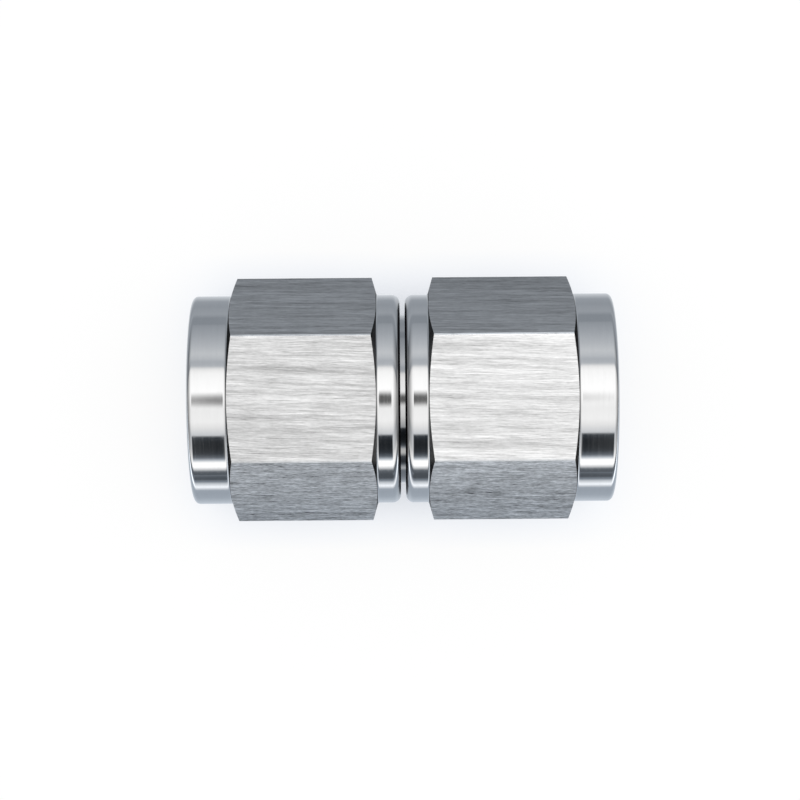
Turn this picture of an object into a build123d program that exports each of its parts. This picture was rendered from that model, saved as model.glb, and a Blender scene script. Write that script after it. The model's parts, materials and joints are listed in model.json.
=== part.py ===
from build123d import *
import os
from math import degrees, pi, radians, tan

# Flare swivel union, size 10: a straight sleeve with a 37 degree seat at each end, and a hex
# nut on each end that turns freely on a split wire ring. Millimetres. The flow axis is X, the
# origin is the middle of the sleeve on that axis, and the union lies on one flat of each nut,
# so +Z points out of the opposite flats.

# Hex of the nuts, for a one inch spanner
across_flats = 25.4
hex_edge_radius = 0.3

# Lengths along the flow axis, measured at the middle of a flat
nut_length = 24.77
gap_between_nuts = 0.57
mouth_collar_length = 4.68
inner_collar_length = 2.82

# Turned collars at the two ends of each nut, and the cone that takes the corners off the hex
collar_step_below_flats = 0.2
corner_chamfer_angle = 16.0
collar_root_radius = 0.25
mouth_edge_radius = 0.6
inner_edge_radius = 1.0

# Threaded socket, 7/8-14: its wall stands just outside the 22.225 mm major diameter, and the
# ridges, which rise from the wall towards the axis, are left off it
collar_wall = 1.35
thread_ridge_height = 0.9
mouth_countersink = 0.4
thread_relief_depth = 0.2
thread_relief_width = 2.5
thread_start_past_sleeve = 0.1

# Sleeve, with a seat at each end
sleeve_length = 25.0
sleeve_clearance_in_thread = 0.15
sleeve_wall = 3.95
seat_half_angle = 37.0
seat_mouth_wall = 0.6
sleeve_end_chamfer = 0.25

# Running fit of each nut on the sleeve
running_clearance = 0.05
lead_in_depth = 0.45
lead_in_length = 0.7

# Split rings of round spring wire, half in the nut and half in the sleeve
ring_wire_diameter = 1.6
ring_centre_from_inner_face = 4.3
ring_side_clearance = 0.05
ring_bottom_clearance = 0.03
squeezed_ring_clearance = 0.1
ring_end_clearance = 0.3
groove_edge_break = 0.1

# The nut's places along the axis
inner_face = gap_between_nuts / 2
mouth_face = inner_face + nut_length
inner_flat_start = inner_face + inner_collar_length
mouth_flat_end = mouth_face - mouth_collar_length

# The radii, from the hex inwards
flat_radius = across_flats / 2
collar_radius = flat_radius - collar_step_below_flats
thread_wall_radius = collar_radius - collar_wall
thread_crest_radius = thread_wall_radius - thread_ridge_height
relief_radius = thread_wall_radius + thread_relief_depth
sleeve_radius = thread_crest_radius - sleeve_clearance_in_thread
back_bore_radius = sleeve_radius + running_clearance
seat_mouth_radius = sleeve_radius - seat_mouth_wall
flow_bore_radius = sleeve_radius - sleeve_wall

# The seat's cone, and the thread relief round the sleeve's end
sleeve_end = sleeve_length / 2
seat_bottom = sleeve_end - (seat_mouth_radius - flow_bore_radius) / tan(radians(seat_half_angle))
relief_mouth_side = sleeve_end + thread_start_past_sleeve
relief_inner_side = relief_mouth_side - thread_relief_width

# Where the ring sits at rest, and how far it closes while the nut is pushed on
wire_radius = ring_wire_diameter / 2
ring_centre = inner_face + ring_centre_from_inner_face
groove_half_width = wire_radius + ring_side_clearance
ring_radius = back_bore_radius
nut_groove_radius = ring_radius + wire_radius + ring_bottom_clearance
squeezed_ring_radius = sleeve_radius - wire_radius
sleeve_groove_radius = squeezed_ring_radius - wire_radius - squeezed_ring_clearance
ring_opening = 2 * pi * (ring_radius - squeezed_ring_radius) + ring_end_clearance
ring_opening_angle = degrees(ring_opening / ring_radius)


def outline(points):
    """A closed flat outline in the X-radius half plane, ready to be turned about X."""
    return make_face(Polyline(*points, close=True))


def corners_at(face, places):
    """The outline's corners at the given places, for rounding."""
    return [face.vertices().sort_by_distance(Vector(x, r, 0))[0] for x, r in places]


def turned(face):
    """The solid that an outline sweeps in one turn about the flow axis."""
    return revolve(face, axis=Axis.X, revolution_arc=360)


def nut_outside():
    """The blank of the right nut: collars and corner chamfers turned on a hex bar."""
    bar_radius = across_flats
    slope = tan(radians(corner_chamfer_angle))
    inner_root = (inner_flat_start - collar_step_below_flats * slope, collar_radius)
    mouth_root = (mouth_flat_end + collar_step_below_flats * slope, collar_radius)
    inner_far = (inner_flat_start + (bar_radius - flat_radius) * slope, bar_radius)
    mouth_far = (mouth_flat_end - (bar_radius - flat_radius) * slope, bar_radius)
    inner_edge = (inner_face, collar_radius)
    mouth_edge = (mouth_face, collar_radius)
    profile = outline([
        (inner_face, 0), inner_edge, inner_root, inner_far,
        mouth_far, mouth_root, mouth_edge, (mouth_face, 0),
    ])
    profile = fillet(corners_at(profile, [inner_root, mouth_root]), collar_root_radius)
    profile = fillet(corners_at(profile, [inner_edge]), inner_edge_radius)
    profile = fillet(corners_at(profile, [mouth_edge]), mouth_edge_radius)

    hexagon = RegularPolygon(radius=flat_radius, side_count=6, major_radius=False)
    hexagon = fillet(hexagon.vertices(), hex_edge_radius)
    hex_bar = extrude(Plane.YZ.offset(inner_face) * hexagon, amount=nut_length)
    return hex_bar & turned(profile)


def nut_inside():
    """What is bored out of the right nut, from the lead-in through to the mouth."""
    lead_in_radius = back_bore_radius + lead_in_depth
    countersink_start = mouth_face - mouth_countersink
    countersink_radius = thread_wall_radius + mouth_countersink
    bore = turned(outline([
        (inner_face, 0), (inner_face, lead_in_radius),
        (inner_face + lead_in_length, back_bore_radius), (relief_inner_side, back_bore_radius),
        (relief_inner_side, relief_radius), (relief_mouth_side, relief_radius),
        (relief_mouth_side, thread_wall_radius), (countersink_start, thread_wall_radius),
        (mouth_face, countersink_radius), (mouth_face, 0),
    ]))
    groove = ring_groove(0, nut_groove_radius, back_bore_radius, groove_edge_break)
    return bore + groove


def ring_groove(bottom_radius, top_radius, surface_radius, edge_break):
    """A square groove over the right ring, with the edges broken where it meets a surface."""
    low = ring_centre - groove_half_width
    high = ring_centre + groove_half_width
    groove = turned(outline([
        (low, bottom_radius), (low, top_radius), (high, top_radius), (high, bottom_radius),
    ]))
    broken_edges = turned(outline([
        (low - edge_break, surface_radius), (low, surface_radius - edge_break),
        (high, surface_radius - edge_break), (high + edge_break, surface_radius),
        (high, surface_radius + edge_break), (low, surface_radius + edge_break),
    ]))
    return groove + broken_edges


def make_nut():
    """The right nut."""
    return nut_outside() - nut_inside()


def make_sleeve():
    """The sleeve that both nuts turn on, with its two seats and two ring grooves."""
    half_profile = outline([
        (0, flow_bore_radius), (0, sleeve_radius),
        (sleeve_end - sleeve_end_chamfer, sleeve_radius),
        (sleeve_end, sleeve_radius - sleeve_end_chamfer),
        (sleeve_end, seat_mouth_radius), (seat_bottom, flow_bore_radius),
    ])
    groove = ring_groove(sleeve_groove_radius, collar_radius, sleeve_radius, groove_edge_break)
    right_half = turned(half_profile) - groove
    return right_half + facing_left(right_half)


def make_ring():
    """The right ring: one open turn of round wire, with its gap underneath."""
    section = Pos(ring_centre, ring_radius, 0) * Circle(wire_radius)
    wire = revolve(section, axis=Axis.X, revolution_arc=360 - ring_opening_angle)
    gap_centre_angle = ring_opening_angle / 2
    return Rot(X=gap_centre_angle - 90) * wire


def facing_left(piece):
    """The same piece turned end for end about the vertical axis, for the left side."""
    return Rot(Z=180) * piece


nut = make_nut()
ring = make_ring()

pieces = {
    "swivel_sleeve": make_sleeve(),
    "right_nut": nut,
    "right_retaining_ring": ring,
    "left_nut": facing_left(nut),
    "left_retaining_ring": facing_left(ring),
}

os.makedirs("parts", exist_ok=True)
for name, piece in pieces.items():
    export_step(piece, "parts/" + name + ".step")
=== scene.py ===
"""Dresses a flare swivel union: models its nuts, threads and sleeve afresh on the fixed frame, gives each
surface its finish and sets up the studio. Metres; X is the flow axis and Z points up from the floor."""
import json
from math import cos, hypot, pi, radians, tan

import bpy
from bpy.props import FloatProperty, FloatVectorProperty, IntProperty, PointerProperty
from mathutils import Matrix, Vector


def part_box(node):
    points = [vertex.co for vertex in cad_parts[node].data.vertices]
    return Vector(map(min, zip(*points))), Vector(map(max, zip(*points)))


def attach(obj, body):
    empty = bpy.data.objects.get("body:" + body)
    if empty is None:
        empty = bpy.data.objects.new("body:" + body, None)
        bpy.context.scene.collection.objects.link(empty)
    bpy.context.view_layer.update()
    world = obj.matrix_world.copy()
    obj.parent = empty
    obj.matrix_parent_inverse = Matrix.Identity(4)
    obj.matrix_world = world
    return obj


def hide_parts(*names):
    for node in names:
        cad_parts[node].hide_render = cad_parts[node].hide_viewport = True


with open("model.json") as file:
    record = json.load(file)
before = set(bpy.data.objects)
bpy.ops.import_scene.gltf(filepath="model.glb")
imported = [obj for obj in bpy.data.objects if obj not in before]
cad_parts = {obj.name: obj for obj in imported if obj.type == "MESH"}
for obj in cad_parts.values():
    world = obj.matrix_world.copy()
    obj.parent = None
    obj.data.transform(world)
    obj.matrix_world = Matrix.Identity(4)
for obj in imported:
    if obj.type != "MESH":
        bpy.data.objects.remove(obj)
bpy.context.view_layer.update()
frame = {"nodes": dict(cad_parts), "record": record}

bl_info = {
    "name": "Flare Swivel Union",
    "version": (1, 0, 0),
    "blender": (4, 5, 0),
    "location": "View3D > Sidebar > Union",
    "description": "Models a flare swivel union and the studio that it lies in",
    "category": "Object",
}

NUT_LOW, NUT_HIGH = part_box("right_nut")
RING_LOW, RING_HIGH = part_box("right_retaining_ring")
SLEEVE_LOW, SLEEVE_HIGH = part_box("swivel_sleeve")
MOUNTS = {mount["name"]: mount for mount in frame["record"]["mounts"]}
SOCKET = MOUNTS["right_socket"]

MM = 0.001
FLOW_AXIS = (1, 0, 0)
COINCIDENT = 0.001 * MM
ON_A_PLANE = 0.01 * MM


def length(name, description, default):
    """A size that a user may change."""
    return FloatProperty(
        name=name, description=description, default=default, min=0, unit="LENGTH", precision=5)


def share(name, description, default):
    """A number from nought to one that a user may change."""
    return FloatProperty(name=name, description=description, default=default, min=0, max=1)


def colour(name, description, default):
    """A colour that a user may change."""
    return FloatVectorProperty(
        name=name, description=description, default=default, min=0, max=1, subtype="COLOR", size=3)


class NutSizes(bpy.types.PropertyGroup):
    """Sizes of a swivel nut that its box in the frame doesn't give."""
    mouth_collar: length("Mouth Collar", "Length of the collar at the threaded end", 4.68 * MM)
    inner_collar: length("Inner Collar", "Length of the collar at the other end", 2.82 * MM)
    collar_step: length("Collar Step", "How far the collars lie below the flats", 0.2 * MM)
    corner_chamfer: FloatProperty(
        name="Corner Chamfer", description="Slope of the cone that takes the hex corners off",
        default=radians(16), subtype="ANGLE")
    root_radius: length("Root Radius", "Rounding between cone and collar", 0.25 * MM)
    mouth_edge: length("Mouth Edge", "Rounding of the mouth's outer edge", 0.6 * MM)
    inner_edge: length("Inner Edge", "Rounding of the inner end's outer edge", 1.0 * MM)
    hex_edge: length("Hex Edge", "Rounding along the six long edges", 0.3 * MM)
    relief_depth: length("Relief Depth", "How far the thread relief goes below the wall", 0.2 * MM)
    relief_width: length("Relief Width", "Length of the thread relief", 2.5 * MM)
    countersink: length("Countersink", "Depth of the mouth's countersink", 0.4 * MM)
    running_clearance: length("Running Clearance", "Radial gap between nut and sleeve", 0.05 * MM)
    lead_in_depth: length("Lead-in Depth", "Radial depth of the lead-in at the inner face", 0.45 * MM)
    lead_in_length: length("Lead-in Length", "Length of the lead-in at the inner face", 0.7 * MM)
    groove_side: length("Groove Side", "Gap between ring and groove, each side", 0.05 * MM)
    groove_bottom: length("Groove Bottom", "Gap between ring and groove bottom", 0.03 * MM)
    edge_break: length("Edge Break", "Broken edge of the ring grooves", 0.1 * MM)
    steps: IntProperty(name="Steps", description="Steps in one turn", default=256, min=12)


class ThreadSizes(bpy.types.PropertyGroup):
    """Sizes of the thread ridge inside each nut."""
    pitch: length("Pitch", "Distance from turn to turn", 25.4 / 14 * MM)
    height: length("Height", "Height of the ridge above the wall", 0.9 * MM)
    flank: FloatProperty(
        name="Flank", description="Half the angle between two flanks", default=radians(30), subtype="ANGLE")
    bedding: length("Bedding", "How far the ridge reaches into the wall", 0.03 * MM)
    steps: IntProperty(name="Steps", description="Steps in one turn", default=120, min=12)


class SleeveSizes(bpy.types.PropertyGroup):
    """Sizes of the sleeve that its box in the frame doesn't give."""
    wall: length("Wall", "Thickness of the wall", 3.95 * MM)
    seat_wall: length("Seat Wall", "Width of the rim round the seat", 0.6 * MM)
    end_chamfer: length("End Chamfer", "Chamfer of the outer edge at each end", 0.25 * MM)
    seat: FloatProperty(
        name="Seat", description="Angle between seat and flow axis", default=radians(37), subtype="ANGLE")
    groove_radius: length("Groove Radius", "Radius at the bottom of the ring groove", 8.4 * MM)


class Finishes(bpy.types.PropertyGroup):
    """Colours and roughness of the steel."""
    drawn: colour("Drawn", "Colour of the hex flats, drawn along the flow axis", (0.56, 0.56, 0.56))
    turned: colour("Turned", "Colour of the turned and polished faces", (0.62, 0.62, 0.62))
    # The cones' colour is darker than the collars': partly duller cut steel, partly painted shade.
    cut: colour("Cut", "Colour of the cones at the hex corners", (0.42, 0.42, 0.42))
    bored: colour("Bored", "Colour of the bores and threads", (0.5, 0.5, 0.5))
    wire: colour("Wire", "Colour of the ring wire", (0.46, 0.46, 0.465))
    drawn_roughness: share("Drawn Roughness", "Roughness of the hex flats", 0.3)
    turned_roughness: share("Turned Roughness", "Roughness of the polished faces", 0.055)
    cut_roughness: share("Cut Roughness", "Roughness of the cones", 0.2)
    bored_roughness: share("Bored Roughness", "Roughness of the bores and threads", 0.24)
    wire_roughness: share("Wire Roughness", "Roughness of the ring wire", 0.3)


class Studio(bpy.types.PropertyGroup):
    """The camera and the floor."""
    camera_height: length("Camera Height", "From the flow axis up to the camera", 281 * MM)
    seen_width: length("Seen Width", "Width that the picture takes in at the flow axis", 96.54 * MM)
    camera_aside: length("Camera Aside", "From over the flow axis to the camera, nearwards", 2.8 * MM)
    turn: FloatProperty(
        name="Turn", description="Turn of the camera, which lifts the right end",
        default=radians(-0.46), subtype="ANGLE")
    picture_width: IntProperty(name="Picture Width", description="Pixels across the picture", default=800)
    right_of_middle: FloatProperty(
        name="Right of Middle", description="Pixels from the picture's middle to the union's", default=3.0)
    above_middle: FloatProperty(
        name="Above Middle", description="Pixels from the picture's middle up to the union's", default=1.3)
    floor_size: length("Floor Size", "Length of the floor's sides", 2.4)
    floor_drop: length("Floor Drop", "Gap between the lower flats and the floor", 0.02 * MM)
    paper_glow: share("Paper Glow", "Share of plain white in the paper that the camera sees", 0.87)
    shade_reach: length("Shade Reach", "How far from the union the paper's glow is shaded", 10 * MM)
    lamp_size: length("Lamp Size", "Length of the lamp's sides", 0.6)
    lamp_power: FloatProperty(name="Lamp Power", description="Power of the lamp in watts", default=1.2)


class Number:
    """A number in a material: sums on it are written in Python and add Math nodes."""

    def __init__(self, shader, socket):
        self.shader = shader
        self.socket = socket

    def maths(self, operation, *others):
        """This number in a Math node's first socket, and others in those that follow."""
        node = self.shader.node("Math", {"operation": operation}, dict(enumerate([self, *others])))
        return Number(self.shader, node.outputs[0])

    def __add__(self, other):
        return self.maths("ADD", other)

    def __sub__(self, other):
        return self.maths("SUBTRACT", other)

    def __rsub__(self, other):
        return self * -1 + other

    def __mul__(self, other):
        return self.maths("MULTIPLY", other)

    def __truediv__(self, other):
        return self.maths("DIVIDE", other)

    def __abs__(self):
        return self.maths("ABSOLUTE")

    __radd__ = __add__
    __rmul__ = __mul__


class Shader:
    """The node tree of a material or of the world."""

    def __init__(self, owner):
        owner.use_nodes = True
        self.tree = owner.node_tree
        self.tree.nodes.clear()

    def node(self, kind, settings=None, sockets=None):
        """A node of a kind, with its settings set first and then its sockets' values or links."""
        node = self.tree.nodes.new("ShaderNode" + kind)
        for name, value in (settings or {}).items():
            if name == "stops":
                self.set_stops(node.color_ramp, value)
            else:
                setattr(node, name, value)
        for name, value in (sockets or {}).items():
            if isinstance(value, Number):
                value = value.socket
            if isinstance(value, bpy.types.NodeSocket):
                self.tree.links.new(value, node.inputs[name])
            else:
                node.inputs[name].default_value = value
        return node

    def set_stops(self, ramp, stops):
        """Gives a colour ramp its stops, each a place from nought to one and a colour."""
        while len(ramp.elements) < len(stops):
            ramp.elements.new(1)
        for element, (place, shade) in zip(ramp.elements, stops):
            element.position = place
            element.color = (*shade, 1)

    def number(self, kind, settings, sockets, output=0):
        """A node whose output is a number to reckon with."""
        return Number(self, self.node(kind, settings, sockets).outputs[output])

    def ease(self, value, low, high):
        """Nought below low, one above high, and a smooth rise between them."""
        return self.number(
            "MapRange", {"interpolation_type": "SMOOTHSTEP"},
            {"Value": value, "From Min": low, "From Max": high}, "Result")

    def place(self):
        """The three coordinates of a point on the piece, in metres."""
        point = self.node("TexCoord").outputs["Object"]
        parts = self.node("SeparateXYZ", sockets={"Vector": point})
        return [Number(self, part) for part in parts.outputs]

    def distance(self, across, along):
        """How far apart two points are that differ by the given numbers in two directions."""
        return (across * across + along * along).maths("SQRT")

    def distance_from_edge(self, y, z, flat_radius):
        """How far a point on a hex bar lies from the nearest long edge."""
        sector = pi / 6
        turn = y.maths("ARCTAN2", z).maths("PINGPONG", sector)
        return flat_radius * tan(sector) - turn.maths("TANGENT") * flat_radius

    def grain(self, point, size, detail=2.0, coarse=0.5):
        """Noise about a half whose grains have the given size along the three coordinates."""
        x, y, z = point
        vector = self.node("CombineXYZ", sockets={"X": x / size[0], "Y": y / size[1], "Z": z / size[2]})
        return self.number(
            "TexNoise", {},
            {"Vector": vector.outputs[0], "Scale": 1.0, "Detail": detail, "Roughness": coarse}, "Fac")

    def tinted(self, shade, factor):
        """A colour made lighter or darker by a number."""
        node = self.node("VectorMath", {"operation": "SCALE"}, {0: shade, "Scale": factor})
        return node.outputs["Vector"]

    def ramp(self, value, stops):
        """The colour that a ramp has at a value from nought to one."""
        return self.node("ValToRGB", {"stops": stops}, {"Fac": value}).outputs["Color"]

    def bump(self, height, depth, strength=1.0):
        """A normal bent by a height from nought to one, whose full height is depth."""
        return self.node("Bump", {}, {"Strength": strength, "Distance": depth, "Height": height}).outputs[0]

    def steel(self, **sockets):
        """Closes the material with a metal surface."""
        names = {name.replace("_", " ").title(): value for name, value in sockets.items()}
        surface = self.node("BsdfPrincipled", {}, {"Metallic": 1.0, **names})
        self.node("OutputMaterial", {}, {"Surface": surface.outputs[0]})


def new_shader(name):
    """An empty material and the shader in it."""
    material = bpy.data.materials.new(name)
    return material, Shader(material)


def drawn_steel(finishes):
    """Hex flats: satin streaks along the bar, a few thin dark lines and long edges worn round.

    The right nut's upper flat is painted lighter as a highlight; on the near side the grain's hairs and
    flecks are made stronger as painted glints; the long edges are lighter, partly worn metal and partly a
    painted highlight that is stronger on the near side."""
    material, shader = new_shader("drawn_steel")
    x, y, z = shader.place()
    point = (x, y, z)
    wander = shader.grain(point, (8 * MM, 5 * MM, 5 * MM), 1) - 0.5
    bent = (x, y + x * 0.025 + wander * (0.35 * MM), z + wander * (0.35 * MM))
    clouds = shader.grain(point, (9 * MM, 3 * MM, 3 * MM), 2) - 0.5
    bands = shader.grain(bent, (30 * MM, 0.8 * MM, 0.8 * MM), 2) - 0.5
    streaks = shader.grain(bent, (9 * MM, 0.27 * MM, 0.27 * MM), 3, 0.6) - 0.5
    hairs = shader.grain(bent, (2.4 * MM, 0.13 * MM, 0.13 * MM), 2, 0.6) - 0.5
    flecks = shader.grain(bent, (0.6 * MM, 0.12 * MM, 0.12 * MM), 2, 0.6) - 0.5
    scratches = shader.ease(shader.grain(bent, (3.5 * MM, 0.2 * MM, 0.2 * MM), 3), 0.65, 0.73)
    wear = shader.grain(point, (7 * MM, 9 * MM, 9 * MM), 2)
    nicks_and_edge_highlight = shader.grain(point, (0.9 * MM, 3 * MM, 3 * MM), 3, 0.7)
    from_edge = shader.distance_from_edge(y, z, NUT_HIGH.z)
    edge_width = 0.3 * MM
    rolled = 1 - shader.ease(from_edge, 0, edge_width)
    near_side = 1 - shader.ease(y, -1 * MM, 1 * MM)
    upper_flat = shader.ease(z, NUT_HIGH.z - 0.3 * MM, NUT_HIGH.z - 0.1 * MM)
    # Painted highlight: the right nut's upper flat is made lighter.
    painted_bright_flat = upper_flat * shader.ease(x, -1 * MM, 1 * MM)
    # Painted glints: on the near side, below the upper flat, the hairs and flecks are made stronger.
    painted_glint_side = near_side * (1 - upper_flat)
    # Along the long edges the colour is lighter and marked: partly worn metal, partly a painted edge
    # highlight that is stronger on the near side.
    brightness = (
        1 + clouds * 0.2 + bands * 0.75 + streaks * 0.8 + hairs + flecks * 0.5 - scratches * 0.35
        + painted_glint_side * (hairs * 1.1 + flecks * 1.6)
        + painted_bright_flat * 0.15 + rolled * (nicks_and_edge_highlight + near_side * 0.1) * 0.9)
    roughness = finishes.drawn_roughness + streaks * 0.12 + rolled * (near_side * 0.4 - 0.14)
    height = streaks * 0.6 + hairs * 0.4 + flecks * 0.15 - rolled * rolled * wear * 1.3
    shader.steel(
        base_color=shader.tinted(finishes.drawn, brightness),
        roughness=roughness,
        specular_tint=(0.15, 0.15, 0.15, 1),
        normal=shader.bump(height, 0.03 * MM))
    return material


def turned_steel(finishes):
    """Collars and sleeve: polished, with the fine lines of the lathe round the axis, and painted shade in
    the gap between the nuts.
    """
    material, shader = new_shader("turned_steel")
    x, y, z = shader.place()
    radius = shader.distance(y, z)
    lines = shader.grain((x, y, z), (0.07 * MM, 14 * MM, 14 * MM), 3, 0.7) - 0.5
    smears = shader.grain((x, y, z), (0.5 * MM, 2.2 * MM, 2.2 * MM), 2) - 0.5
    rings = shader.grain((x, y, z), (0.25 * MM, 5 * MM, 5 * MM), 2) - 0.5
    # Painted shade between the nuts: their inner ends are made nearly black, and the sleeve between them
    # darker, most on its near side.
    by_the_gap = 1 - shader.ease(abs(x), 0.25 * MM, 0.8 * MM)
    on_nuts = shader.ease(radius, SLEEVE_HIGH.z + 0.1 * MM, SLEEVE_HIGH.z + 0.5 * MM)
    on_sleeve = (1 - shader.ease(y, -5 * MM, 0)) * 0.4 + 0.2
    painted_gap_shade = by_the_gap * (on_sleeve + (0.9 - on_sleeve) * on_nuts)
    brightness = (1 + lines * 0.07 + smears * 0.05) * (1 - painted_gap_shade)
    roughness = finishes.turned_roughness + abs(lines) * 0.16 + abs(smears) * 0.04 + rings * 0.16
    shader.steel(
        base_color=shader.tinted(finishes.turned, brightness),
        roughness=roughness,
        normal=shader.bump(lines + 0.5, 0.0006 * MM))
    return material


def cut_steel(finishes):
    """Cones at the hex corners: cut with a plain tool, so duller than the collars and darker aslant; their
    darker colour is partly painted shade.
    """
    material, shader = new_shader("cut_steel")
    x, y, z = shader.place()
    radius = shader.distance(y, z)
    rings = shader.grain((radius, y * 0.01, z * 0.01), (0.12 * MM, 0.12 * MM, 0.12 * MM), 2) - 0.5
    stains = shader.grain((x, y, z), (1.5 * MM, 1.5 * MM, 1.5 * MM), 3) - 0.5
    shader.steel(
        base_color=shader.tinted(finishes.cut, 1 + rings * 0.3 + stains * 0.3),
        roughness=finishes.cut_roughness + stains * 0.1,
        specular_tint=(0.06, 0.06, 0.06, 1),
        normal=shader.bump(rings + 0.5, 0.004 * MM))
    return material


def bored_steel(finishes):
    """Bores and threads: cut but not polished, with tool lines round the axis."""
    material, shader = new_shader("bored_steel")
    x, y, z = shader.place()
    lines = shader.grain((x, y, z), (0.09 * MM, 9 * MM, 9 * MM), 3, 0.6) - 0.5
    stains = shader.grain((x, y, z), (3 * MM, 3 * MM, 3 * MM), 3) - 0.5
    brightness = 1 + lines * 0.25 + stains * 0.2
    shader.steel(
        base_color=shader.tinted(finishes.bored, brightness),
        roughness=finishes.bored_roughness + lines * 0.12 + stains * 0.1,
        normal=shader.bump(lines + 0.5, 0.004 * MM))
    return material


def wire_steel(finishes):
    """Ring wire: drawn through a die, so its faint lines run along the wire."""
    material, shader = new_shader("wire_steel")
    x, y, z = shader.place()
    radius = shader.distance(y, z)
    lines = shader.grain((x, radius, z * 0.02), (0.08 * MM, 0.08 * MM, 1 * MM), 2) - 0.5
    spots = shader.grain((x, y, z), (0.6 * MM, 0.6 * MM, 0.6 * MM), 2) - 0.5
    shader.steel(
        base_color=shader.tinted(finishes.wire, 1 + lines * 0.3 + spots * 0.2),
        roughness=finishes.wire_roughness + spots * 0.1,
        normal=shader.bump(lines + 0.5, 0.006 * MM))
    return material


def deselect_all():
    """Leaves object mode with nothing selected, so that an operator acts on new work only."""
    if bpy.context.mode != "OBJECT":
        bpy.ops.object.mode_set(mode="OBJECT")
    bpy.ops.object.select_all(action="DESELECT")


def work_on(piece):
    """Makes a piece the only selected one."""
    deselect_all()
    piece.select_set(True)
    bpy.context.view_layer.objects.active = piece


def draw_outline(name, corners, closed):
    """A wire through corners (x, radius) in the X-Z plane, extruded from one point to the next."""
    deselect_all()
    bpy.ops.mesh.primitive_plane_add(size=1 * MM)
    wire = bpy.context.object
    wire.name = name
    select_where(wire, "VERT", lambda vertex: True)
    bpy.ops.mesh.merge(type="CENTER")
    bpy.ops.transform.translate(value=(corners[0][0], 0, corners[0][1]))
    for (x, radius), (next_x, next_radius) in zip(corners, corners[1:]):
        step = (next_x - x, 0, next_radius - radius)
        bpy.ops.mesh.extrude_region_move(TRANSFORM_OT_translate={"value": step})
    if closed:
        select_corners(wire, [corners[0], corners[-1]])
        bpy.ops.mesh.edge_face_add()
    bpy.ops.object.mode_set(mode="OBJECT")
    return wire


def select_where(piece, kind, test):
    """Opens a piece in edit mode with only the points, edges or faces that pass a test selected."""
    work_on(piece)
    bpy.ops.object.mode_set(mode="EDIT")
    bpy.ops.mesh.select_mode(type=kind)
    bpy.ops.mesh.select_all(action="DESELECT")
    bpy.ops.object.mode_set(mode="OBJECT")
    mesh = piece.data
    for item in {"VERT": mesh.vertices, "EDGE": mesh.edges, "FACE": mesh.polygons}[kind]:
        item.select = test(item)
    bpy.ops.object.mode_set(mode="EDIT")


def select_corners(wire, corners):
    """Selects an outline's points at the given places, and ends in edit mode."""
    places = [Vector((x, 0, radius)) for x, radius in corners]
    select_where(
        wire, "VERT", lambda vertex: any((vertex.co - place).length < COINCIDENT for place in places))


def round_corner(wire, corner, before, after, radius, segments):
    """Rounds an outline's corner, which lies between two others, with an arc of the given radius."""
    place = Vector(corner)
    opening = (Vector(before) - place).angle(Vector(after) - place)
    select_corners(wire, [corner])
    bpy.ops.mesh.bevel(offset=radius / tan(opening / 2), segments=segments, affect="VERTICES")
    bpy.ops.object.mode_set(mode="OBJECT")


def spin_outline(wire, steps):
    """Turns an outline into a closed solid about the flow axis."""
    select_where(wire, "VERT", lambda vertex: True)
    bpy.ops.mesh.spin(steps=steps, angle=2 * pi, center=(0, 0, 0), axis=FLOW_AXIS)
    tidy_mesh()
    bpy.ops.object.mode_set(mode="OBJECT")
    return wire


def tidy_mesh():
    """In edit mode, joins points that coincide and turns all faces outwards."""
    bpy.ops.mesh.select_all(action="SELECT")
    bpy.ops.mesh.remove_doubles(threshold=COINCIDENT)
    bpy.ops.mesh.normals_make_consistent(inside=False)


def combine(piece, tool, operation):
    """Cuts or crops a piece with a tool, which is used up."""
    work_on(piece)
    boolean = piece.modifiers.new(operation.title(), "BOOLEAN")
    boolean.operation = operation
    boolean.solver = "EXACT"
    boolean.object = tool
    bpy.ops.object.modifier_apply(modifier=boolean.name)
    if not piece.data.polygons:
        raise RuntimeError(f"Nothing is left of {piece.name} after cutting it with {tool.name}")
    bpy.data.objects.remove(tool)


def shade(piece):
    """Smooth shading up to real edges, with flats and cylinders kept true beside small roundings."""
    work_on(piece)
    bpy.ops.object.shade_smooth_by_angle(angle=radians(30))
    weighted = piece.modifiers.new("Weighted Normal", "WEIGHTED_NORMAL")
    weighted.keep_sharp = True
    bpy.ops.object.modifier_apply(modifier=weighted.name)


def turned_end_for_end(piece, name):
    """A copy of a right-hand piece for the left side, turned half round about the vertical axis."""
    work_on(piece)
    bpy.ops.object.duplicate()
    copy = bpy.context.object
    copy.name = name
    copy.rotation_euler = (0, 0, pi)
    bpy.ops.object.transform_apply(location=True, rotation=True, scale=True)
    return copy


def finish_piece(piece, body, nodes=()):
    """Parents a piece to the empty of the body it moves with, and hides the CAD nodes it stands for."""
    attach(piece, body)
    if nodes:
        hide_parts(*nodes)


def material_of(maker):
    """The material that a function makes, made once."""
    found = bpy.data.materials.get(maker.__name__)
    return found or maker(bpy.context.scene.union_finishes)


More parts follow.
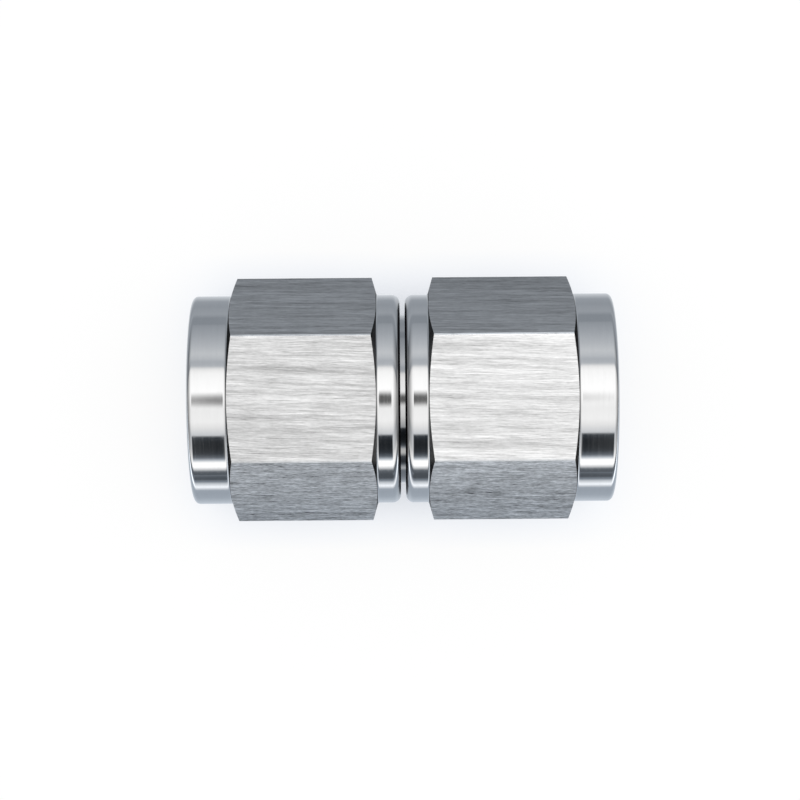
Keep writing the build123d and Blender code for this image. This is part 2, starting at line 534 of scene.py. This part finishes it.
class NutPlaces:
    """Places and radii of the right nut, worked out from the frame and the sizes."""

    def __init__(self, sizes):
        slope = tan(sizes.corner_chamfer)
        self.inner_face = NUT_LOW.x
        self.mouth_face = NUT_HIGH.x
        self.flat_radius = NUT_HIGH.z
        self.collar_radius = self.flat_radius - sizes.collar_step
        self.inner_flat_start = self.inner_face + sizes.inner_collar
        self.mouth_flat_end = self.mouth_face - sizes.mouth_collar
        self.inner_root = self.inner_flat_start - sizes.collar_step * slope
        self.mouth_root = self.mouth_flat_end + sizes.collar_step * slope
        self.bar_radius = 2 * self.flat_radius
        self.inner_far = self.inner_flat_start + self.flat_radius * slope
        self.mouth_far = self.mouth_flat_end - self.flat_radius * slope

        self.wall_radius = SOCKET["dims"]["r_mm"] * MM
        self.wall_start = SOCKET["pos_m"][0] - SOCKET["dims"]["length_mm"] * MM / 2
        self.wall_end = self.mouth_face - sizes.countersink
        self.relief_start = self.wall_start - sizes.relief_width
        self.relief_radius = self.wall_radius + sizes.relief_depth
        self.bore_radius = SLEEVE_HIGH.z + sizes.running_clearance

        half_groove = (RING_HIGH.x - RING_LOW.x) / 2 + sizes.groove_side
        ring_centre = (RING_HIGH.x + RING_LOW.x) / 2
        self.groove_low = ring_centre - half_groove
        self.groove_high = ring_centre + half_groove
        self.groove_radius = RING_HIGH.z + sizes.groove_bottom


class UNION_OT_add_nuts(bpy.types.Operator):
    """Models the two hex swivel nuts"""
    bl_idname = "union.add_nuts"
    bl_label = "Add Nuts"
    bl_options = {"REGISTER", "UNDO"}

    def execute(self, context):
        sizes = context.scene.union_nut
        places = NutPlaces(sizes)
        right = self.hex_bar(sizes, places)
        combine(right, self.turned_blank(sizes, places), "INTERSECT")
        combine(right, self.bore(sizes, places), "DIFFERENCE")
        self.give_finishes(right, places)
        shade(right)
        left = turned_end_for_end(right, "left_swivel_nut")
        finish_piece(right, "right_nut", ["right_nut"])
        finish_piece(left, "left_nut", ["left_nut"])
        return {"FINISHED"}

    def hex_bar(self, sizes, places):
        """A length of hex bar with rounded edges, longer than the nut at both ends."""
        deselect_all()
        nut_length = places.mouth_face - places.inner_face
        bpy.ops.mesh.primitive_cylinder_add(
            vertices=6, radius=places.flat_radius / cos(pi / 6), depth=nut_length + 2 * MM,
            location=((places.inner_face + places.mouth_face) / 2, 0, 0), rotation=(0, pi / 2, 0))
        bar = bpy.context.object
        bar.name = "right_swivel_nut"
        bpy.ops.object.transform_apply(location=True, rotation=True, scale=True)
        points = bar.data.vertices
        select_where(bar, "EDGE", lambda edge: nut_length < abs(
            points[edge.vertices[0]].co.x - points[edge.vertices[1]].co.x))
        bpy.ops.mesh.bevel(offset=sizes.hex_edge * tan(pi / 6), segments=6)
        bpy.ops.object.mode_set(mode="OBJECT")
        return bar

    def turned_blank(self, sizes, places):
        """The turned outside: two collars, and the cones that take the hex corners off.

        Points a little past each rounding keep the shading of the straight stretches true."""
        inner_edge = (places.inner_face, places.collar_radius)
        inner_root = (places.inner_root, places.collar_radius)
        inner_far = (places.inner_far, places.bar_radius)
        mouth_far = (places.mouth_far, places.bar_radius)
        mouth_root = (places.mouth_root, places.collar_radius)
        mouth_edge = (places.mouth_face, places.collar_radius)
        inner_middle = (places.inner_face, 0)
        mouth_middle = (places.mouth_face, 0)
        past_inner_edge = 1.1 * sizes.inner_edge
        past_mouth_edge = 1.1 * sizes.mouth_edge
        past_root = 1.5 * sizes.root_radius
        inner_rim = (places.inner_face, places.collar_radius - past_inner_edge)
        mouth_rim = (places.mouth_face, places.collar_radius - past_mouth_edge)
        inner_collar = [
            (places.inner_face + past_inner_edge, places.collar_radius),
            (places.inner_root - past_root, places.collar_radius)]
        mouth_collar = [
            (places.mouth_root + past_root, places.collar_radius),
            (places.mouth_face - past_mouth_edge, places.collar_radius)]
        corners = [
            inner_middle, inner_rim, inner_edge, *inner_collar, inner_root, inner_far,
            mouth_far, mouth_root, *mouth_collar, mouth_edge, mouth_rim, mouth_middle]
        blank = draw_outline("turned_blank", corners, closed=False)
        round_corner(blank, inner_edge, inner_middle, inner_root, sizes.inner_edge, 12)
        round_corner(blank, inner_root, inner_edge, inner_far, sizes.root_radius, 6)
        round_corner(blank, mouth_root, mouth_far, mouth_edge, sizes.root_radius, 6)
        round_corner(blank, mouth_edge, mouth_root, mouth_middle, sizes.mouth_edge, 10)
        return spin_outline(blank, sizes.steps)

    def bore(self, sizes, places):
        """What is bored out: lead-in, running bore with its ring groove, relief, thread wall and mouth."""
        beyond = 1 * MM
        lead_in_radius = places.bore_radius + sizes.lead_in_depth
        lead_in_slope = sizes.lead_in_depth / sizes.lead_in_length
        before_face = (places.inner_face - beyond, lead_in_radius + beyond * lead_in_slope)
        past_mouth = (places.mouth_face + beyond, places.wall_radius + sizes.countersink + beyond)
        corners = [
            (before_face[0], 0), before_face,
            (places.inner_face + sizes.lead_in_length, places.bore_radius),
            (places.groove_low - sizes.edge_break, places.bore_radius),
            (places.groove_low, places.bore_radius + sizes.edge_break),
            (places.groove_low, places.groove_radius),
            (places.groove_high, places.groove_radius),
            (places.groove_high, places.bore_radius + sizes.edge_break),
            (places.groove_high + sizes.edge_break, places.bore_radius),
            (places.relief_start, places.bore_radius),
            (places.relief_start, places.relief_radius),
            (places.wall_start, places.relief_radius),
            (places.wall_start, places.wall_radius),
            (places.wall_end, places.wall_radius),
            past_mouth, (past_mouth[0], 0)]
        return spin_outline(draw_outline("nut_bore", corners, closed=False), sizes.steps)

    def give_finishes(self, nut, places):
        """Turned collars first, then the bores, the drawn flats and the cones at the hex corners."""
        for maker in (turned_steel, bored_steel, drawn_steel, cut_steel):
            nut.data.materials.append(material_of(maker))
        middle_of_wall = (places.collar_radius + places.wall_radius) / 2
        above_collar = (places.collar_radius + places.flat_radius) / 2
        for face in nut.data.polygons:
            radius = hypot(face.center.y, face.center.z)
            faces_the_axis = face.normal.dot(Vector((0, face.center.y, face.center.z))) < 0
            along_the_bar = abs(face.normal.x) < 0.5
            from_the_ends = min(abs(face.center.x - end) for end in (places.inner_face, places.mouth_face))
            if from_the_ends < ON_A_PLANE:
                face.material_index = 0
            elif radius < middle_of_wall and (faces_the_axis or radius < places.wall_radius):
                face.material_index = 1
            elif along_the_bar and radius > above_collar:
                face.material_index = 2
            elif radius > above_collar:
                face.material_index = 3


class UNION_OT_add_threads(bpy.types.Operator):
    """Models the right-handed thread ridge inside each nut"""
    bl_idname = "union.add_threads"
    bl_label = "Add Threads"
    bl_options = {"REGISTER", "UNDO"}

    def execute(self, context):
        places = NutPlaces(context.scene.union_nut)
        sizes = context.scene.union_thread
        right = self.ridge(sizes, places)
        combine(right, self.threaded_stretch(sizes, places), "INTERSECT")
        right.data.materials.append(material_of(bored_steel))
        shade(right)
        left = turned_end_for_end(right, "left_thread_ridge")
        finish_piece(right, "right_nut")
        finish_piece(left, "left_nut")
        return {"FINISHED"}

    def ridge(self, sizes, places):
        """A helical bar with the ridge's section, from before the wall to past the mouth."""
        crest_radius = places.wall_radius - sizes.height
        foot_radius = places.wall_radius + sizes.bedding
        half_crest = sizes.pitch / 8
        half_foot = half_crest + (foot_radius - crest_radius) * tan(sizes.flank)
        start = places.wall_start - sizes.pitch
        turns = int((places.mouth_face - start) / sizes.pitch) + 2
        corners = [
            (start - half_foot, foot_radius), (start - half_crest, crest_radius),
            (start + half_crest, crest_radius), (start + half_foot, foot_radius)]
        ridge = draw_outline("right_thread_ridge", corners, closed=True)
        screw = ridge.modifiers.new("Screw", "SCREW")
        screw.axis = "X"
        screw.screw_offset = sizes.pitch
        screw.iterations = turns
        screw.steps = screw.render_steps = sizes.steps
        work_on(ridge)
        bpy.ops.object.modifier_apply(modifier=screw.name)
        select_where(ridge, "EDGE", lambda edge: False)
        bpy.ops.mesh.select_non_manifold()
        bpy.ops.mesh.edge_face_add()
        tidy_mesh()
        bpy.ops.object.mode_set(mode="OBJECT")
        return ridge

    def threaded_stretch(self, sizes, places):
        """The room that the thread takes up, straight at the relief and slanted at the countersink."""
        outer = places.wall_radius + sizes.bedding / 2
        inner = places.wall_radius - 2 * sizes.height
        corners = [
            (places.wall_start, inner), (places.wall_start, outer),
            (places.wall_end + sizes.bedding / 2, outer), (places.wall_end - 2 * sizes.height, inner)]
        return spin_outline(draw_outline("threaded_stretch", corners, closed=True), sizes.steps)


class UNION_OT_add_sleeve(bpy.types.Operator):
    """Models the sleeve that both nuts turn on"""
    bl_idname = "union.add_sleeve"
    bl_label = "Add Sleeve"
    bl_options = {"REGISTER", "UNDO"}

    def execute(self, context):
        sizes = context.scene.union_sleeve
        nut = context.scene.union_nut
        places = NutPlaces(nut)
        end = SLEEVE_HIGH.x
        radius = SLEEVE_HIGH.z
        bore_radius = radius - sizes.wall
        seat_mouth = radius - sizes.seat_wall
        seat_bottom = end - (seat_mouth - bore_radius) / tan(sizes.seat)
        corners = [
            (0, bore_radius), (0, radius),
            (places.groove_low - nut.edge_break, radius), (places.groove_low, radius - nut.edge_break),
            (places.groove_low, sizes.groove_radius), (places.groove_high, sizes.groove_radius),
            (places.groove_high, radius - nut.edge_break), (places.groove_high + nut.edge_break, radius),
            (end - sizes.end_chamfer, radius), (end, radius - sizes.end_chamfer),
            (end, seat_mouth), (seat_bottom, bore_radius)]
        sleeve = draw_outline("polished_sleeve", corners, closed=True)
        spin_outline(sleeve, nut.steps)
        self.mirror(sleeve)
        sleeve.data.materials.append(material_of(turned_steel))
        shade(sleeve)
        finish_piece(sleeve, "sleeve", ["swivel_sleeve"])
        return {"FINISHED"}

    def mirror(self, sleeve):
        """Adds the left half, with no wall left between the halves."""
        select_where(sleeve, "FACE", lambda face: abs(face.center.x) < ON_A_PLANE)
        bpy.ops.mesh.delete(type="ONLY_FACE")
        bpy.ops.object.mode_set(mode="OBJECT")
        mirror = sleeve.modifiers.new("Mirror", "MIRROR")
        mirror.merge_threshold = COINCIDENT
        bpy.ops.object.modifier_apply(modifier=mirror.name)
        bpy.ops.object.mode_set(mode="EDIT")
        tidy_mesh()
        bpy.ops.object.mode_set(mode="OBJECT")


class UNION_OT_finish_rings(bpy.types.Operator):
    """Gives the two retaining rings their finish"""
    bl_idname = "union.finish_rings"
    bl_label = "Finish Rings"
    bl_options = {"REGISTER", "UNDO"}

    def execute(self, context):
        for name in ("left_retaining_ring", "right_retaining_ring"):
            frame["nodes"][name].material_slots[0].material = material_of(wire_steel)
        return {"FINISHED"}


def reflected(brightness, cool=0.0):
    """The colour of a reflection: whites are neutral, and the dimmer it is, the more it leans to blue."""
    lean = min(1, max(0, (1.25 - brightness) / 1.1) + cool)
    return (brightness * (1 - 0.25 * lean), brightness * (1 - 0.14 * lean), brightness)


# Brightness of the studio round the flow axis, by the angle in degrees from straight up. Positive
# angles lean towards the picture's top.
ROOM = [
    (95, 0.46), (86, 0.545), (77, 0.615), (72, 0.665), (62, 0.765), (51.5, 0.90), (46, 0.83), (42, 0.71),
    (37, 0.75), (33.4, 1.28), (29, 1.47), (21, 1.56), (9, 1.64), (2, 1.52), (-12, 1.36), (-24, 1.40),
    (-30, 1.25), (-40, 0.94), (-60, 1.05), (-71, 1.62), (-79, 1.78), (-82.5, 1.05), (-86, 0.23),
    (-95, 0.10),
]
# The dark gap below the near soft box, in front of the union only
GAP = [
    (-40, 1.0), (-41, 0.085), (-47, 0.035), (-52, 0.03), (-57, 0.037), (-62, 0.06), (-67, 0.16),
    (-70.5, 0.6), (-73, 1.0),
]
# The gap ends between these shares of a direction along the flow axis
GAP_END = (0.07, 0.27)
# The camera's lens, mirrored as a dark spot: where it lies and how large it is, as shares of a direction
LENS_PLACE = (-0.022, -0.012)
LENS_SIZE = (0.1, 0.15)
LENS_BRIGHTNESS = 0.12
# How the room falls off towards both ends of the flow axis, by the direction's share along it
ROOM_ENDS = [
    (-1.0, 0.22), (-0.93, 0.30), (-0.67, 0.56), (-0.32, 0.88), (-0.1, 0.98), (0, 1.0), (0.25, 1.0),
    (0.53, 0.78), (0.73, 0.58), (0.88, 0.40), (1.0, 0.25),
]
# Painted light: the brightness that the floor glows with in the reflections, by the distance in millimetres
# from the flow axis
FLOOR = [
    (-150, 0.14), (-101, 0.41), (-70, 1.18), (-58, 1.60), (-52, 1.15), (-45, 0.65), (-36, 0.62), (-27, 0.64),
    (-19, 0.76), (0, 0.84), (18, 0.77), (26, 0.52), (36, 0.495), (47, 0.53), (66, 0.56), (104, 0.44),
    (150, 0.44),
]


class UNION_OT_add_studio(bpy.types.Operator):
    """Sets up the camera, the floor, the soft lamp and the room seen in the steel"""
    bl_idname = "union.add_studio"
    bl_label = "Add Studio"
    bl_options = {"REGISTER", "UNDO"}

    def execute(self, context):
        studio = context.scene.union_studio
        self.camera(context, studio)
        self.floor(studio)
        self.lamp(studio)
        self.room(context)
        context.scene.view_settings.view_transform = "Standard"
        return {"FINISHED"}

    def camera(self, context, studio):
        """Looks straight down, a little turned."""
        deselect_all()
        bpy.ops.object.camera_add(
            location=(0, -studio.camera_aside, studio.camera_height), rotation=(0, 0, studio.turn))
        camera = context.object
        camera.data.lens = camera.data.sensor_width * studio.camera_height / studio.seen_width
        camera.data.shift_x = -studio.right_of_middle / studio.picture_width
        back_to_axis = studio.camera_aside / studio.seen_width
        camera.data.shift_y = back_to_axis - studio.above_middle / studio.picture_width
        context.scene.camera = camera

    def floor(self, studio):
        """White paper under the flats. The camera sees it nearly white, with the union's soft shadow, which
        is partly painted from ambient occlusion; the steel sees it glow with painted bands of light.
        """
        deselect_all()
        bpy.ops.mesh.primitive_plane_add(
            size=studio.floor_size, location=(0, 0, NUT_LOW.z - studio.floor_drop))
        floor = bpy.context.object
        floor.name = "floor"
        material, shader = new_shader("white_paper")
        x, y, z = shader.place()
        low, high = FLOOR[0][0] * MM, FLOOR[-1][0] * MM
        stops = [
            ((at * MM - low) / (high - low), reflected(bright, cool=0.35 if at < 0 else 0))
            for at, bright in FLOOR]
        mirrored = shader.ramp((y - low) / (high - low), stops)
        # Painted light: off the near corners the floor glows up to twice as bright in the steel.
        painted_spill_near_corners = shader.ease(y * -1, 15 * MM, 60 * MM) * shader.ease(abs(x), 24 * MM, 80 * MM)
        seen_in_steel = shader.node("Emission", {}, {"Color": shader.tinted(mirrored, painted_spill_near_corners + 1)})
        paper = shader.node("BsdfDiffuse", {}, {"Color": (0.98, 0.98, 0.98, 1)})
        # Painted shadow: where the ambient occlusion finds the union near, the glow's share falls and its
        # colour leans to blue.
        open_sky = shader.node(
            "AmbientOcclusion", {"samples": 8}, {"Distance": studio.shade_reach}).outputs["AO"]
        glow_colour = shader.node(
            "Mix", {"data_type": "RGBA"}, {0: open_sky, 6: (0.72, 0.82, 1, 1), 7: (1, 1, 1, 1)})
        glow = shader.node("Emission", {}, {"Color": glow_colour.outputs[2]})
        seen = shader.node(
            "MixShader", {},
            {0: shader.ease(open_sky, 0, 1) * studio.paper_glow, 1: paper.outputs[0], 2: glow.outputs[0]})
        path = shader.node("LightPath")
        to_camera = shader.node(
            "MixShader", {}, {0: path.outputs["Is Camera Ray"], 1: paper.outputs[0], 2: seen.outputs[0]})
        surface = shader.node(
            "MixShader", {},
            {0: path.outputs["Is Glossy Ray"], 1: to_camera.outputs[0], 2: seen_in_steel.outputs[0]})
        shader.node("OutputMaterial", {}, {"Surface": surface.outputs[0]})
        floor.data.materials.append(material)

    def lamp(self, studio):
        """One large soft lamp over the right end, which gives the shadow its side."""
        bpy.ops.object.light_add(type="AREA", location=(0.35, 0.05, 0.8), rotation=(0, radians(22), 0))
        lamp = bpy.context.object
        lamp.data.size = studio.lamp_size
        lamp.data.energy = studio.lamp_power
        lamp.visible_glossy = False

    def room(self, context):
        """Soft boxes and dark gaps round the union, seen in the steel; plain white for all else."""
        world = bpy.data.worlds.new("room")
        context.scene.world = world
        shader = Shader(world)
        direction = shader.node("TexCoord").outputs["Generated"]
        parts = shader.node("SeparateXYZ", sockets={"Vector": direction})
        x, y, z = (Number(shader, part) for part in parts.outputs)
        lean = y.maths("ARCTAN2", z)
        around = lean / (2 * pi) + 0.5
        bands = shader.ramp(
            around, [(angle / 360 + 0.5, reflected(bright)) for angle, bright in reversed(ROOM)])
        gap = shader.ramp(
            around, [
                (angle / 360 + 0.5, (1, 1, 1) if bright == 1 else reflected(bright))
                for angle, bright in reversed(GAP)])
        gap_with_ends = shader.node(
            "Mix", {"data_type": "RGBA"}, {0: shader.ease(abs(x), *GAP_END), 6: gap, 7: (1, 1, 1, 1)})
        between = shader.node(
            "VectorMath", {"operation": "MULTIPLY"}, {0: bands, 1: gap_with_ends.outputs[2]})
        from_lens = shader.distance((x - LENS_PLACE[0]) / LENS_SIZE[0], (y - LENS_PLACE[1]) / LENS_SIZE[1])
        past_lens = shader.ease(from_lens, 0.3, 1.3) * (1 - LENS_BRIGHTNESS) + LENS_BRIGHTNESS
        ends = shader.ramp(x / 2 + 0.5, [(at / 2 + 0.5, (bright,) * 3) for at, bright in ROOM_ENDS])
        steel_sees = shader.tinted(between.outputs[0], Number(shader, ends) * past_lens)
        path = shader.node("LightPath")
        seen_in_steel = shader.node("Background", {}, {"Color": steel_sees})
        plain = shader.node("Background", {}, {"Color": (1, 1, 1, 1)})
        surface = shader.node(
            "MixShader", {},
            {0: path.outputs["Is Glossy Ray"], 1: plain.outputs[0], 2: seen_in_steel.outputs[0]})
        shader.node("OutputWorld", {}, {"Surface": surface.outputs[0]})


class UNION_PT_panel(bpy.types.Panel):
    """Buttons and sizes in the sidebar"""
    bl_label = "Flare Swivel Union"
    bl_space_type = "VIEW_3D"
    bl_region_type = "UI"
    bl_category = "Union"

    def draw(self, context):
        for operator in OPERATORS:
            self.layout.operator(operator.bl_idname)
        for name in SETTINGS:
            group = getattr(context.scene, name)
            box = self.layout.box()
            for setting in group.__annotations__:
                box.prop(group, setting)


SETTINGS = {
    "union_nut": NutSizes,
    "union_thread": ThreadSizes,
    "union_sleeve": SleeveSizes,
    "union_finishes": Finishes,
    "union_studio": Studio,
}
OPERATORS = (
    UNION_OT_add_nuts, UNION_OT_add_threads, UNION_OT_add_sleeve, UNION_OT_finish_rings, UNION_OT_add_studio)
CLASSES = (*SETTINGS.values(), *OPERATORS, UNION_PT_panel)


def register():
    for new_class in CLASSES:
        bpy.utils.register_class(new_class)
    for name, group in SETTINGS.items():
        setattr(bpy.types.Scene, name, PointerProperty(type=group))


def unregister():
    for name in SETTINGS:
        delattr(bpy.types.Scene, name)
    for new_class in reversed(CLASSES):
        bpy.utils.unregister_class(new_class)


def main():
    register()
    bpy.ops.union.add_nuts()
    bpy.ops.union.add_threads()
    bpy.ops.union.add_sleeve()
    bpy.ops.union.finish_rings()
    bpy.ops.union.add_studio()
    deselect_all()


if __name__ == "__main__":
    main()
